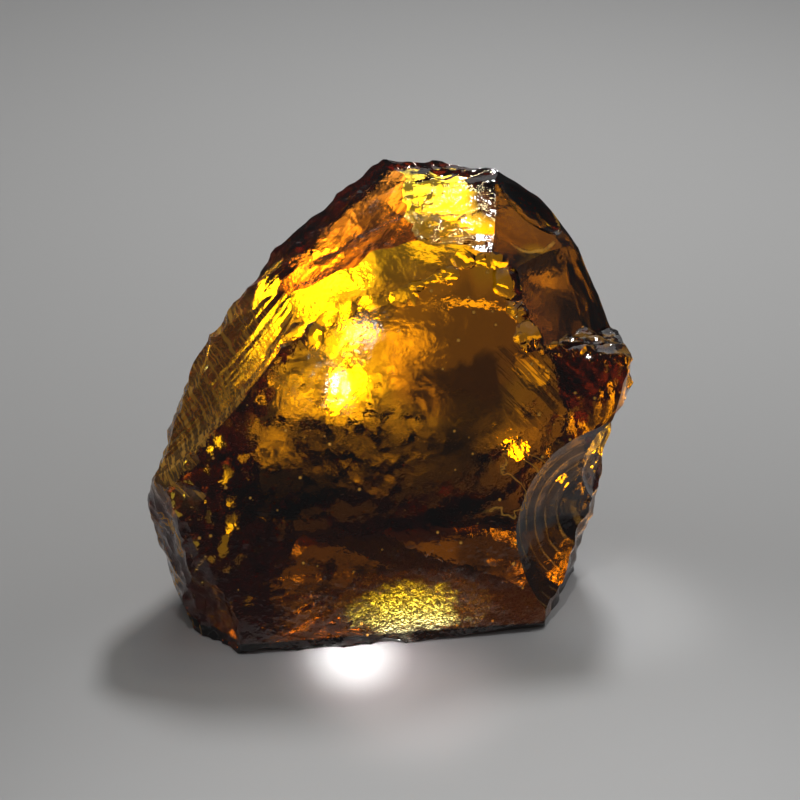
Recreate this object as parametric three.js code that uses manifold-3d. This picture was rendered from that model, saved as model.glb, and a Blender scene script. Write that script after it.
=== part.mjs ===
// A rough topaz: one clear, amber-brown crystal, broken on every side. It is about 57 mm wide,
// 37 mm deep and 48 mm tall, and it stands on a flat break. Millimetres and degrees, +Z up,
// with the large smooth face towards the front (-Y).
import * as THREE from "three";
import { mergeVertices } from "three/addons/utils/BufferGeometryUtils.js";
import Module from "manifold-3d";

// The uncut block, and the point inside it that every break is measured from.
const BLOCK_SIZE = [84, 66, 74];
const BLOCK_CENTRE = [0, 3, 30];
const HEART = [0, 3, 26];

// The large breaks. azimuth is the way a face looks, with 0 to the front and 90 to the right. rise
// is how far it looks up, and reach is its distance from the heart. swell is [height, wavelength,
// phase] of its slow waves, ribs is [height, spacing, direction] of its ridges, dish is [radius,
// along, across] of its hollow and where that is deepest, and cell is the mesh size they need.
const FACES = {
  // the front half, from the large smooth face round to the foot
  front: { azimuth: 7.3, rise: 17.1, reach: 6.9, cell: 5, swell: [0.12, 30, 1] },
  slope: { azimuth: 348, rise: 52.5, reach: 12.3, cell: 3, swell: [0.15, 12, 2] },
  strip: { azimuth: 328, rise: 64, reach: 14.5, cell: 1.2, ribs: [0.08, 2.4, 140] },
  top: { azimuth: 358, rise: 70, reach: 16, cell: 1.1, ribs: [0.08, 2.2, 95] },
  crown: { azimuth: 180, rise: 85, reach: 23.4, cell: 2, swell: [0.2, 6, 0.5] },
  rightCrown: { azimuth: 59, rise: 51, reach: 19.8, cell: 3, swell: [0.1, 16, 0.5] },
  rightSide: { azimuth: 69.5, rise: -11, reach: 26, cell: 2.5, swell: [0.2, 14, 0.5] },
  rightCorner: { azimuth: 97, rise: 16, reach: 27.9, cell: 2, swell: [0.15, 6, 2] },
  shoulder: { azimuth: 304, rise: 41.5, reach: 16.3, cell: 2.5, swell: [0.2, 8, 0.5] },
  leftSide: { azimuth: 270, rise: 21, reach: 22.3, cell: 2.5, swell: [0.2, 12, 0.5] },
  leftFoot: { azimuth: 297, rise: -9.5, reach: 29.7, cell: 2.5, swell: [0.2, 12, 0.5] },
  leftFront: { azimuth: 306, rise: -5, reach: 28, cell: 3, swell: [0.1, 9, 1] },
  base: { azimuth: 0, rise: -90, reach: 26, cell: 46 },
  baseBevel: { azimuth: 12, rise: -40, reach: 28.3, cell: 4, swell: [0.05, 9, 1] },
  // the back half
  back: { azimuth: 190, rise: -4, reach: 16.5, cell: 4, swell: [0.3, 16, 2.2] },
  backLeft: { azimuth: 238, rise: -8, reach: 21.5, cell: 4, swell: [0.2, 14, 1] },
  backRight: { azimuth: 110, rise: -16, reach: 27.9, cell: 4, swell: [0.2, 14, 4] },
  backStrip: { azimuth: 224, rise: 14.5, reach: 16.9, cell: 3, swell: [0.15, 7, 3] },
  backCrown: { azimuth: 179, rise: 30, reach: 24.8, cell: 2, swell: [0.15, 5, 1] },
  backCrownRight: { azimuth: 154, rise: 26.5, reach: 25.8, cell: 3, swell: [0.15, 8, 5] },
  backRightTop: { azimuth: 130, rise: 11, reach: 25.6, cell: 3, swell: [0.15, 9, 2] },
  backCorner: { azimuth: 118, rise: 8.5, reach: 27.1, cell: 3, swell: [0.15, 9, 2] },
  backShoulder: { azimuth: 234, rise: 32, reach: 20.9, cell: 3, swell: [0.15, 6, 2] },
  backLeftTop: { azimuth: 248, rise: 8, reach: 23.7, cell: 3, swell: [0.15, 9, 6] },
};
const SHEET = 92; // side of the square sheet that a break is cut with
const SPALL = 60; // how much is cleared outside it

// A step high on the right: what lies both outside its floor and above its riser is gone.
const STEP = {
  stepFloor: { azimuth: 50.5, rise: 25.5, reach: 15.9, cell: 3, dish: [45, 17, 3.8] },
  stepRiser: { azimuth: 98, rise: 79.5, reach: 9.7, cell: 1.5, swell: [0.25, 4, 1] },
};

// The shell-shaped breaks, each a shallow round bowl. at is the point of the outside that one is
// struck at, azimuth and rise are the way it opens, bend is the radius of its hollow and bite its
// depth. rings is [height, spacing] of the ripples that spread from its middle.
const SHELLS = {
  backShell: {
    at: [0, 19.9, 20], azimuth: 190, rise: -4, bend: 62, bite: 4.2,
    cell: 2.8, swell: [0.3, 11, 1],
  },
  backSpall: {
    at: [-13, 15.8, 11], azimuth: 208, rise: -4, bend: 14, bite: 1.6,
    cell: 1.4, swell: [0.15, 5, 1],
  },
  bowl: {
    at: [26, -5.3, 12.4], azimuth: 16, rise: 12, bend: 15.5, bite: 5.6,
    cell: 0.9, rings: [0.14, 2.6],
  },
  bowlLedge: {
    at: [18.2, -11, 3.4], azimuth: 32, rise: -6, bend: 7, bite: 1.5,
    cell: 0.9, rings: [0.07, 2],
  },
  rightNotch: {
    at: [25.6, 0.6, 18], azimuth: 78, rise: -8, bend: 8, bite: 2.4,
    cell: 1, swell: [0.25, 4, 3],
  },
  leftCorner: {
    at: [-20.8, -12.8, 4.2], azimuth: 325, rise: -4, bend: 9, bite: 2.2,
    cell: 1, swell: [0.2, 4, 2],
  },
};
const SHELL_MARGIN = 3; // how far the sheet that cuts a shell reaches past its rim
const SHELL_CLEAR = 9; // how much is cleared outside it
const SHELL_CAP = 4; // how far past the outside its hollow goes on bending

// The hollow breaks. at is the point of the outside that one is struck at, azimuth and rise are the
// way it opens, size is [half length, half width, radius] of its egg, bite its depth and spin the
// turn of its length about the way it opens. ribs is [height, count] of the ridges that run along
// it, and mesh is [around, along] its egg.
const SCOOPS = {
  flute: {
    at: [-19.2, -2.1, 29.3], azimuth: 304, rise: 41, spin: -104, size: [20, 6.8, 5], bite: 1.8,
    mesh: [108, 14], ribs: [0.1, 36],
  },
  outlineNotch: {
    at: [-14.8, 7.4, 39.8], azimuth: 300, rise: 45, spin: 58, size: [8, 3.2, 3], bite: 1.2,
    mesh: [24, 12],
  },
  leftLens: {
    at: [-22.5, 1.4, 28.4], azimuth: 275, rise: 30, spin: 129, size: [7, 3, 3], bite: 0.9,
    mesh: [24, 16],
  },
  ridgeLens: {
    at: [-10.4, -2.4, 35.8], azimuth: 340, rise: 35, spin: 37, size: [3.4, 1.5, 1.5], bite: 0.7,
    mesh: [16, 10],
  },
  rightLens: {
    at: [16.9, 13.6, 44.1], azimuth: 59, rise: 51, spin: -74, size: [6.4, 3.6, 3.6], bite: 1,
    mesh: [28, 20],
  },
};

// The edges that are chipped, each between two faces. from and to are how far along the edge the
// chips go, in mm from its point nearest the heart, count is how many there are, and size is the
// radius of the flake that came off.
const CHIPPED_EDGES = [
  { edge: ["front", "slope"], from: -15.5, to: -8.5, count: 6, size: 1.1 },
  { edge: ["front", "slope"], from: -7, to: 9, count: 5, size: 1.3 },
  { edge: ["front", "shoulder"], from: 8, to: 23, count: 15, size: 0.9 },
  { edge: ["front", "leftFront"], from: 4, to: 22, count: 8, size: 2 },
  { edge: ["front", "stepFloor"], from: 0.5, to: 10, count: 6, size: 1.1 },
  { edge: ["front", "stepRiser"], from: -26, to: -14, count: 10, size: 1.2 },
  { edge: ["top", "crown"], from: -11, to: -1, count: 7, size: 1.1 },
  { edge: ["crown", "backCrownRight"], from: -5, to: -1.5, count: 3, size: 1.3 },
  { edge: ["shoulder", "backStrip"], from: -3.5, to: 9, count: 7, size: 1.3 },
  { edge: ["rightSide", "backRight"], from: -17, to: 8, count: 9, size: 1.8 },
  { edge: ["rightSide", "rightCorner"], from: -6, to: 1, count: 3, size: 1.6 },
  { edge: ["leftFoot", "leftFront"], from: -19, to: -4, count: 6, size: 1.6 },
  { edge: ["front", "base"], from: -21, to: -3, count: 9, size: 1.3 },
  { edge: ["back", "backRight"], from: 2, to: 17, count: 5, size: 2 },
  { edge: ["back", "backLeft"], from: -22, to: -9, count: 5, size: 2 },
];
const CHIP_BITE = 0.3; // how deep a chip goes, against its radius
const CHIP_LEAN = 0.5; // how far a chip may lean from the middle of its edge

const COLOUR = 0xc98212;

const wasm = await Module();
wasm.setup();

const radians = THREE.MathUtils.degToRad;

// The unit vector that looks azimuth degrees round from the front and rise degrees up.
function facing(azimuth, rise) {
  const a = radians(azimuth);
  const r = radians(rise);
  return new THREE.Vector3(
    Math.sin(a) * Math.cos(r),
    -Math.cos(a) * Math.cos(r),
    Math.sin(r),
  );
}

// A frame whose Z looks outwards and whose X lies level, turned by spin about Z.
function seat(at, outwards, spin = 0) {
  const up = Math.abs(outwards.z) < 0.9 ? new THREE.Vector3(0, 0, 1) : new THREE.Vector3(0, 1, 0);
  const along = up.cross(outwards).normalize();
  const across = outwards.clone().cross(along);
  return new THREE.Matrix4()
    .makeBasis(along, across, outwards)
    .setPosition(at)
    .multiply(new THREE.Matrix4().makeRotationZ(radians(spin)));
}

// A manifold solid of a closed three.js geometry, whose shared points are merged first.
function solid(geometry) {
  const bare = geometry.clone();
  bare.deleteAttribute("normal");
  bare.deleteAttribute("uv");
  const merged = mergeVertices(bare, 1e-5);
  return new wasm.Manifold(
    new wasm.Mesh({
      numProp: 3,
      vertProperties: new Float32Array(merged.attributes.position.array),
      triVerts: new Uint32Array(merged.index.array),
    }),
  );
}

// The height of a face's slow waves at the point (s, t) of the face.
function swellHeight([height, wavelength, phase], s, t) {
  const k = (2 * Math.PI) / wavelength;
  const first = Math.sin(k * (s + 0.6 * t) + phase);
  const second = Math.sin(1.7 * k * (t - 0.4 * s) + 2.1 * phase);
  const third = Math.sin(2.6 * k * (0.8 * s + 0.5 * t) + 3.3 * phase + 0.8 * Math.sin(k * t));
  return (height * (first + second + third)) / 3;
}

// The height of a face's ridges: a broad one and a narrow one between, bent a little on their way.
function ribHeight([height, spacing, direction], s, t) {
  const a = radians(direction);
  const across = s * Math.cos(a) + t * Math.sin(a);
  const along = t * Math.cos(a) - s * Math.sin(a);
  const place = (2 * Math.PI * (across + 1.2 * Math.sin(0.12 * along))) / spacing;
  return height * (Math.sin(place) + 0.5 * Math.sin(2.3 * place + 1));
}

// The height of a face's hollow, which is nothing where it is deepest and rises around that.
function dishHeight([radius, along, across], s, t) {
  return ((s - along) ** 2 + (t - across) ** 2) / (2 * radius);
}

// The height of the ripples that spread from the middle of a shell.
function ringHeight([height, spacing], s, t) {
  return height * Math.cos((2 * Math.PI * Math.hypot(s, t)) / spacing);
}

// A square sheet whose inner side, through the point at, carries a break's relief.
function sheet({ azimuth, rise, cell, swell, ribs, dish, rings }, at, side, thick, cap = thick) {
  const cells = Math.max(1, Math.round(side / cell));
  const slab = new THREE.BoxGeometry(side, side, thick, cells, cells, 1);
  slab.translate(0, 0, thick / 2);
  const points = slab.attributes.position;
  for (let i = 0; i < points.count; i++) {
    if (points.getZ(i) > thick / 2) continue;
    const s = points.getX(i);
    const t = points.getY(i);
    let height = 0;
    if (swell) height += swellHeight(swell, s, t);
    if (ribs) height += ribHeight(ribs, s, t);
    if (dish) height += dishHeight(dish, s, t);
    if (rings) height += ringHeight(rings, s, t);
    points.setZ(i, Math.min(height, cap));
  }
  return solid(slab.applyMatrix4(seat(at, facing(azimuth, rise))));
}

// What one large break takes off: everything outside its face.
function fracture(face) {
  const outwards = facing(face.azimuth, face.rise);
  const at = new THREE.Vector3(...HEART).addScaledVector(outwards, face.reach);
  return sheet(face, at, SHEET, SPALL);
}

// What one shell-shaped break takes off: a flake, thickest in its middle.
function shell(flake) {
  const { bend, bite } = flake;
  const outwards = facing(flake.azimuth, flake.rise);
  const deepest = new THREE.Vector3(...flake.at).addScaledVector(outwards, -bite);
  const side = 2 * (Math.sqrt(2 * bend * bite) + SHELL_MARGIN);
  const dished = { ...flake, dish: [bend, 0, 0] };
  return sheet(dished, deepest, side, bite + SHELL_CLEAR, bite + SHELL_CAP);
}

// What one hollow break takes off: an egg that lies in the surface, which may be ribbed along.
function scoop({ at, azimuth, rise, size, bite, spin, mesh, ribs }) {
  const [halfLength, halfWidth, radius] = size;
  const egg = new THREE.SphereGeometry(1, mesh[0], mesh[1]);
  egg.rotateZ(-Math.PI / 2); // its poles are the ends of its length
  const points = egg.attributes.position;
  const point = new THREE.Vector3();
  for (let i = 0; i < points.count; i++) {
    point.fromBufferAttribute(points, i);
    const round = Math.atan2(point.z, point.y);
    const middle = Math.hypot(point.y, point.z);
    let grow = 1;
    if (ribs) grow += (ribs[0] / radius) * Math.sin(ribs[1] * round) * middle;
    points.setXYZ(i, point.x * halfLength, point.y * halfWidth * grow, point.z * radius * grow);
  }
  const outwards = facing(azimuth, rise);
  const centre = new THREE.Vector3(...at).addScaledVector(outwards, radius - bite);
  return solid(egg.applyMatrix4(seat(centre, outwards, spin)));
}

// A repeatable run of numbers between 0 and 1.
function numbers(seed) {
  let state = seed;
  return () => {
    state = (state * 1103515245 + 12345) % 2147483648;
    return state / 2147483648;
  };
}

// The straight edge where two faces meet: its point nearest the heart, the way it runs and the way
// it looks.
function edgeBetween(first, second) {
  const a = facing(first.azimuth, first.rise);
  const b = facing(second.azimuth, second.rise);
  const c = a.dot(b);
  const nearest = new THREE.Vector3(...HEART)
    .addScaledVector(a, (first.reach - c * second.reach) / (1 - c * c))
    .addScaledVector(b, (second.reach - c * first.reach) / (1 - c * c));
  return { nearest, along: a.clone().cross(b).normalize(), outwards: a.add(b).normalize() };
}

// The flakes that are missing along one edge, no two of them alike.
function chips({ edge, from, to, count, size }, row) {
  const planes = { ...FACES, ...STEP };
  const { nearest, along, outwards } = edgeBetween(planes[edge[0]], planes[edge[1]]);
  const random = numbers(row * 97 + 11);
  const between = (low, high) => low + (high - low) * random();
  const flakes = [];
  for (let i = 0; i < count; i++) {
    const place = from + ((to - from) * (i + between(0.2, 0.8))) / count;
    const radius = size * between(0.7, 1.3);
    const lean = new THREE.Vector3(between(-1, 1), between(-1, 1), between(-1, 1));
    const opens = outwards.clone().addScaledVector(lean, CHIP_LEAN).normalize();
    const centre = nearest.clone().addScaledVector(along, place);
    centre.addScaledVector(opens, radius * (1 - CHIP_BITE));
    const flake = new THREE.IcosahedronGeometry(radius, 1);
    flake.scale(between(0.9, 1.5), between(0.8, 1.1), 1);
    flakes.push(solid(flake.applyMatrix4(seat(centre, opens, between(0, 180)))));
  }
  return flakes;
}

// The whole stone: the block less its large breaks, its step, its shells, hollows and chips.
function breakStone() {
  const block = new THREE.BoxGeometry(...BLOCK_SIZE).translate(...BLOCK_CENTRE);
  const cuts = [
    ...Object.values(FACES).map(fracture),
    fracture(STEP.stepFloor).intersect(fracture(STEP.stepRiser)),
    ...Object.values(SHELLS).map(shell),
    ...Object.values(SCOOPS).map(scoop),
    ...CHIPPED_EDGES.flatMap(chips),
  ];
  return cuts.reduce((stone, cut) => stone.subtract(cut), solid(block));
}

// The largest body of a solid, as a three.js geometry; crumbs that the chips part from it are left.
function geometryOf(stone) {
  const bodies = stone.decompose();
  bodies.sort((a, b) => b.volume() - a.volume());
  const { vertProperties, triVerts } = bodies[0].getMesh();
  const geometry = new THREE.BufferGeometry();
  geometry.setAttribute("position", new THREE.BufferAttribute(vertProperties, 3));
  geometry.setIndex(new THREE.BufferAttribute(triVerts, 1));
  return geometry;
}

// Stands the geometry on Z = 0 with the middle of its box over the origin.
function stand(geometry) {
  geometry.computeBoundingBox();
  const { min, max } = geometry.boundingBox;
  return geometry.translate(-(min.x + max.x) / 2, -(min.y + max.y) / 2, -min.z);
}

const geometry = stand(geometryOf(breakStone()));
geometry.computeVertexNormals();
const stone = new THREE.Mesh(
  geometry,
  new THREE.MeshStandardMaterial({ color: COLOUR, roughness: 0.08, metalness: 0 }),
);
stone.name = "stone";

const topaz = new THREE.Group();
topaz.add(stone);
export default topaz;
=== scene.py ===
# %% [markdown]
# # A rough topaz
#
# A crystal like this one grew in a cavity and was later broken out of it, so nothing of its own
# outside is left. Every side is a break. Glassy minerals break in shells: long, slow swells, fine
# ripples that fan out from the blow, and sharp edges that crumble into small chips.
#
# The stone could be sculpted by eye, but a sculpted stone tends to look soft. Here it is made the
# way it came about. A block is split along flat planes, each split face then gets the relief of
# its own break, and hollows and chips are struck out of it last.

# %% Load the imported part
import math

import bmesh
import bpy
import numpy as np
from mathutils import Matrix, Vector


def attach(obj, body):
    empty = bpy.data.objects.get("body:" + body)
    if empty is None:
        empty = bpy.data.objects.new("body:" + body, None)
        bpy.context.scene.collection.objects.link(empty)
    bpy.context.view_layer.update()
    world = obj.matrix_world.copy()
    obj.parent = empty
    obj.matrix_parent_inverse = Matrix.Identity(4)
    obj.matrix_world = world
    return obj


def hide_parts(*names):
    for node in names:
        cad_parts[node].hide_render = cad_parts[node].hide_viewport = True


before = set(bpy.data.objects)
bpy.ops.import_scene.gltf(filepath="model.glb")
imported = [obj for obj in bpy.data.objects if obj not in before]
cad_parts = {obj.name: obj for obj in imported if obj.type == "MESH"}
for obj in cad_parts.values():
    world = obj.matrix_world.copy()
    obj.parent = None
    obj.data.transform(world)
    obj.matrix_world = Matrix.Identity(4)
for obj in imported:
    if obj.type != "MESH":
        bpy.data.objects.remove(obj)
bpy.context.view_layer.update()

# %% [markdown]
# ## Sizes
#
# The stone is worked out in millimetres around a point inside it, the heart, and made in metres.
# A break is given by the way it looks and by its distance from the heart, which is how a cutter
# would describe a facet.

# %% Units, the block and the heart
MM = 0.001
BLOCK_SIZE = Vector((84, 66, 74))
BLOCK_CENTRE = Vector((0, 3, 30))
HEART = Vector((0, 3, 26))
TO_PART = Vector((-0.4535, -4.2899, 0))  # from the block's place to the part's own frame
FINE = 1.0  # how much coarser the cells are while things are tried out
print("the block is", tuple(BLOCK_SIZE), "mm and its heart at", tuple(HEART))


def facing(azimuth, rise):
    """The unit vector that looks azimuth degrees round from the front and rise degrees up."""
    a, r = math.radians(azimuth), math.radians(rise)
    return Vector((math.sin(a) * math.cos(r), -math.cos(a) * math.cos(r), math.sin(r)))


def seat(at, outwards, spin=0):
    """A place whose Z looks outwards and whose X lies level, turned by spin about Z."""
    up = Vector((0, 0, 1)) if abs(outwards.z) < 0.9 else Vector((0, 1, 0))
    along = up.cross(outwards).normalized()
    across = outwards.cross(along)
    turn = Matrix((along, across, outwards)).transposed().to_4x4()
    return Matrix.Translation(at) @ turn @ Matrix.Rotation(math.radians(spin), 4, "Z")


# %% [markdown]
# ## The large breaks
#
# The stone has one broad smooth face in front, a slope and a ribbed strip on its left shoulder, a
# striped facet on top, a stepped notch on its right and a rough back. Each of them is a flat
# break that waves a little.
#
# They could be drawn as a mesh, corner by corner. A table of planes is shorter and safer: where
# two planes meet there is always a straight edge, and one number moves a whole face.
#
# azimuth and rise say where a face looks, reach how far it lies from the heart. The other entries
# are its relief, in mm on its plane: swell is (height, wavelength, phase) and dish is (radius,
# middle). Each of the lumps is (height, size, seed), of the streaks (height, size, direction,
# stretch, seed), of the crumbs (height, size, seed) and of the rings (height, spacing, middle).
# Crumbs and rings end with the middle and radius of the spot that they fill.

# %% The large breaks
FACES = {
    "front": dict(azimuth=7.3, rise=17.1, reach=6.9, swell=(0.12, 30, 1)),
    "slope": dict(azimuth=348, rise=52.5, reach=12.3, swell=(0.15, 12, 2), lumps=[(0.2, 4, 18)]),
    "strip": dict(azimuth=328, rise=64, reach=14.5, lumps=[(0.12, 5, 19)],
                  streaks=[(0.16, 2.2, 145, 7, 41), (0.05, 0.8, 145, 9, 42)]),
    "top": dict(azimuth=358, rise=70, reach=16, lumps=[(0.12, 5, 20)],
                streaks=[(0.14, 2.0, 95, 6, 43), (0.05, 0.8, 100, 6, 44)]),
    "crown": dict(azimuth=180, rise=85, reach=23.4, swell=(0.2, 6, 0.5), lumps=[(0.3, 3, 15)]),
    "rightCrown": dict(azimuth=59, rise=51, reach=19.8, swell=(0.1, 16, 0.5),
                       lumps=[(0.15, 7, 16)]),
    "rightSide": dict(azimuth=69.5, rise=-11, reach=26, swell=(0.2, 14, 0.5),
                      crumbs=[(0.9, 2.6, 11, 0, 0, 60)], lumps=[(0.4, 6, 4)]),
    "rightCorner": dict(azimuth=97, rise=16, reach=27.9, swell=(0.15, 6, 2), lumps=[(0.3, 5, 5)]),
    "shoulder": dict(azimuth=304, rise=41.5, reach=16.3, swell=(0.2, 8, 0.5), lumps=[(0.3, 5, 6)]),
    "leftSide": dict(azimuth=270, rise=21, reach=22.3, swell=(0.2, 12, 0.5),
                     crumbs=[(0.8, 2.4, 10, 0, 0, 60)], lumps=[(0.35, 6, 1)]),
    "leftFoot": dict(azimuth=297, rise=-9.5, reach=29.7, swell=(0.2, 12, 0.5),
                     crumbs=[(1.0, 3.2, 7, 0, 0, 60)], lumps=[(0.4, 6, 2)]),
    "leftFront": dict(azimuth=306, rise=-5, reach=28, swell=(0.1, 9, 1),
                      crumbs=[(0.8, 2.8, 8, 0, 0, 60)], lumps=[(0.35, 6, 3)]),
    "baseBevel": dict(azimuth=12, rise=-40, reach=28.3, swell=(0.05, 9, 1)),
    "back": dict(azimuth=190, rise=-4, reach=16.5, swell=(0.3, 16, 2.2),
                 crumbs=[(0.8, 2.2, 3, 11, -12, 12), (0.3, 0.9, 5, 9, -6, 9)],
                 lumps=[(0.4, 9, 17)]),
    "backLeft": dict(azimuth=238, rise=-8, reach=21.5, swell=(0.2, 14, 1),
                     crumbs=[(1.0, 2.6, 9, 0, -8, 40), (0.35, 1.0, 4, 0, -8, 40)],
                     lumps=[(0.5, 9, 7)]),
    "backRight": dict(azimuth=110, rise=-16, reach=27.9, swell=(0.2, 14, 4),
                      crumbs=[(0.9, 3, 13, 0, 0, 60)], lumps=[(0.45, 8, 8)]),
    "backStrip": dict(azimuth=224, rise=14.5, reach=16.9, swell=(0.15, 7, 3),
                      crumbs=[(0.7, 1.8, 12, 0, 0, 60)], lumps=[(0.4, 7, 9)]),
    "backCrown": dict(azimuth=179, rise=30, reach=24.8, swell=(0.15, 5, 1), lumps=[(0.35, 4, 10)]),
    "backCrownRight": dict(azimuth=154, rise=26.5, reach=25.8, swell=(0.15, 8, 5),
                           lumps=[(0.4, 5, 11)]),
    "backRightTop": dict(azimuth=130, rise=11, reach=25.6, swell=(0.15, 9, 2),
                         lumps=[(0.4, 6, 12)]),
    "backCorner": dict(azimuth=118, rise=8.5, reach=27.1, swell=(0.15, 9, 2),
                       lumps=[(0.35, 5, 13)]),
    "backShoulder": dict(azimuth=234, rise=32, reach=20.9, swell=(0.15, 6, 2),
                         lumps=[(0.35, 5, 14)]),
    "backLeftTop": dict(azimuth=248, rise=8, reach=23.7, swell=(0.15, 9, 6)),
}
BASE = dict(azimuth=0, rise=-90, reach=26)
# the two faces of the step on the right
STEP = {
    "stepFloor": dict(azimuth=50.5, rise=25.5, reach=15.9, dish=(45, 17, 3.8),
                      lumps=[(0.12, 6, 21)]),
    "stepRiser": dict(azimuth=98, rise=79.5, reach=9.7, swell=(0.25, 4, 1),
                      lumps=[(0.35, 2.2, 22)]),
}
print(len(FACES), "large breaks, a foot and a step")

# %% [markdown]
# ## Swells, lumps and streaks
#
# Glass and topaz break in the same ways. A slow break leaves swells, a torn one leaves streaks,
# and clouds of lumps keep either from looking drawn.
#
# All are heights over a plane, as a function of two lengths on it, so they can be added up and
# cut into the stone as real shape. A bump map alone would not bend the light that goes through
# the stone.

# %% Swells, lumps and streaks
HASH_X, HASH_Y, HASH_SEED, HASH_SPREAD = 127.1, 311.7, 74.7, 43758.5453  # any odd numbers do


def swell_height(height, wavelength, phase, s, t):
    """Slow waves, none of which repeats in step with the others."""
    k = 2 * math.pi / wavelength
    first = np.sin(k * (s + 0.6 * t) + phase)
    second = np.sin(1.7 * k * (t - 0.4 * s) + 2.1 * phase)
    third = np.sin(2.6 * k * (0.8 * s + 0.5 * t) + 3.3 * phase + 0.8 * np.sin(k * t))
    return height * (first + second + third) / 3


def chance(x, y, seed):
    """A repeatable number from 0 to 1 for each cell of a grid."""
    wild = np.sin(x * HASH_X + y * HASH_Y + seed * HASH_SEED) * HASH_SPREAD
    return wild - np.floor(wild)


def cloud_height(size, s, t, seed):
    """Smooth lumps about size mm across, each with smaller ones on it, from -1 to 1."""
    total = np.zeros_like(s)
    for octave, share in enumerate((0.6, 0.27, 0.13)):
        turn = 0.7 + 1.9 * octave + seed
        x = (s * math.cos(turn) + t * math.sin(turn)) * 2**octave / size + 31.7 * seed
        y = (t * math.cos(turn) - s * math.sin(turn)) * 2**octave / size + 17.3 * seed
        cx, cy = np.floor(x), np.floor(y)
        fx, fy = x - cx, y - cy
        fx, fy = (f * f * f * (f * (f * 6 - 15) + 10) for f in (fx, fy))
        near_row = chance(cx, cy, seed) * (1 - fx) + chance(cx + 1, cy, seed) * fx
        far_row = chance(cx, cy + 1, seed) * (1 - fx) + chance(cx + 1, cy + 1, seed) * fx
        total += share * (2 * (near_row * (1 - fy) + far_row * fy) - 1)
    return total


def streak_height(size, direction, stretch, s, t, seed):
    """Lumps drawn out along one line, as where a break has torn on its way."""
    a = math.radians(direction)
    across = s * math.cos(a) + t * math.sin(a)
    onwards = t * math.cos(a) - s * math.sin(a)
    return cloud_height(size, across + 0.6 * np.sin(0.15 * onwards), onwards / stretch, seed)


# a patch of one break on which the heights are tried out
patch = np.meshgrid(np.linspace(-20, 20, 81), np.linspace(-20, 20, 81))
print("a cloud of lumps spans", np.ptp(cloud_height(5, *patch, 1)).round(2), "of 2")

# %% [markdown]
# ## Crumbs and ripples
#
# A crushed break leaves crumbs, each with its own flat top, and a fast one leaves ripples that
# spread from the blow. Crumbs are planes that start from scattered points: the highest one wins,
# so they meet in sharp valleys, as broken grains do. Rounded noise could not do that.

# %% Crumbs and ripples
NEIGHBOURS = (-2, -1, 0, 1, 2)  # how far off a crumb may lie that still shows in a cell
CRUMB_SLOPE = 0.95  # how steeply a crumb falls off from its middle


def crumb_height(height, size, s, t, seed):
    """Small flat facets, each tilted its own way, as where a break has crumbled."""
    turn = 0.5 + seed
    x = (s * math.cos(turn) + t * math.sin(turn)) / size
    y = (t * math.cos(turn) - s * math.sin(turn)) / size
    top = np.full_like(x, -9.0)
    for i in NEIGHBOURS:
        for j in NEIGHBOURS:
            cx, cy = np.floor(x) + i, np.floor(y) + j
            aside = x - cx - chance(cx, cy, seed)
            beyond = y - cy - chance(cx, cy, seed + 1)
            tilt_x = chance(cx, cy, seed + 2) - 0.5
            tilt_y = chance(cx, cy, seed + 3) - 0.5
            rise = 0.5 * chance(cx, cy, seed + 4)
            fall = CRUMB_SLOPE * np.hypot(aside, beyond)
            top = np.maximum(top, rise + tilt_x * aside + tilt_y * beyond - fall)
    return height * top


def ring_height(height, spacing, from_s, from_t, s, t):
    """Ripples that spread from the point of a blow, some closer together than others."""
    far = np.hypot(s - from_s, t - from_t)
    return height * np.sin(2 * math.pi * far / spacing + 0.6 * np.sin(0.9 * far))


print("crumbs of 1 mm span", np.ptp(crumb_height(1, 2, *patch, 1)).round(2), "mm")

# %% [markdown]
# ## The relief of a break
#
# Each break has a mixture of these of its own, which its row of the table names. Crumbs and
# ripples fill only a part, because a blow is strong in one place and fades from there.

# %% The relief of a break
def near(s, t, at_s, at_t, radius):
    """1 at a place on a break, falling softly to 0 at radius."""
    far = np.hypot(s - at_s, t - at_t) / radius
    inside = np.clip(1.6 * (1 - far), 0, 1)
    return inside**2 * (3 - 2 * inside)


def relief(face, s, t):
    """The height of a break's surface, in mm, at the point (s, t) of its plane."""
    height = np.zeros_like(s)
    if "swell" in face:
        height += swell_height(*face["swell"], s, t)
    for amount, size, seed in face.get("lumps", ()):
        height += amount * cloud_height(size, s, t, seed)
    for amount, size, direction, stretch, seed in face.get("streaks", ()):
        height += amount * streak_height(size, direction, stretch, s, t, seed)
    if "dish" in face:
        radius, along, across = face["dish"]
        height += ((s - along) ** 2 + (t - across) ** 2) / (2 * radius)
    for amount, spacing, from_s, from_t, *where in face.get("rings", ()):
        height += ring_height(amount, spacing, from_s, from_t, s, t) * near(s, t, *where)
    for amount, size, seed, *where in face.get("crumbs", ()):
        height += crumb_height(amount, size, s, t, seed) * near(s, t, *where)
    return height


for name in ("front", "strip", "back"):
    print(f"the relief of the {name} spans", np.ptp(relief(FACES[name], *patch)).round(2), "mm")


# %% [markdown]
# ## Working with one object at a time
#
# Operators act on everything that is selected, and what was loaded with the part is selected too.
# These helpers make one piece active, read and write its points as numbers, set its mesh in place
# and cut one piece with another. The object itself stays at the origin all the while.

# %% Working with one object at a time
def only(piece):
    """Selects this piece alone and makes it the active one."""
    bpy.ops.object.select_all(action="DESELECT")
    piece.select_set(True)
    bpy.context.view_layer.objects.active = piece


def points_of(piece):
    """The points of a mesh, in mm, as rows of x, y, z."""
    flat = np.empty(3 * len(piece.data.vertices))
    piece.data.vertices.foreach_get("co", flat)
    return flat.reshape(-1, 3) / MM


def move_points(piece, points):
    """Puts the points of a mesh, in mm, where the rows say."""
    piece.data.vertices.foreach_set("co", (points * MM).ravel())
    piece.data.update()


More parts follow.
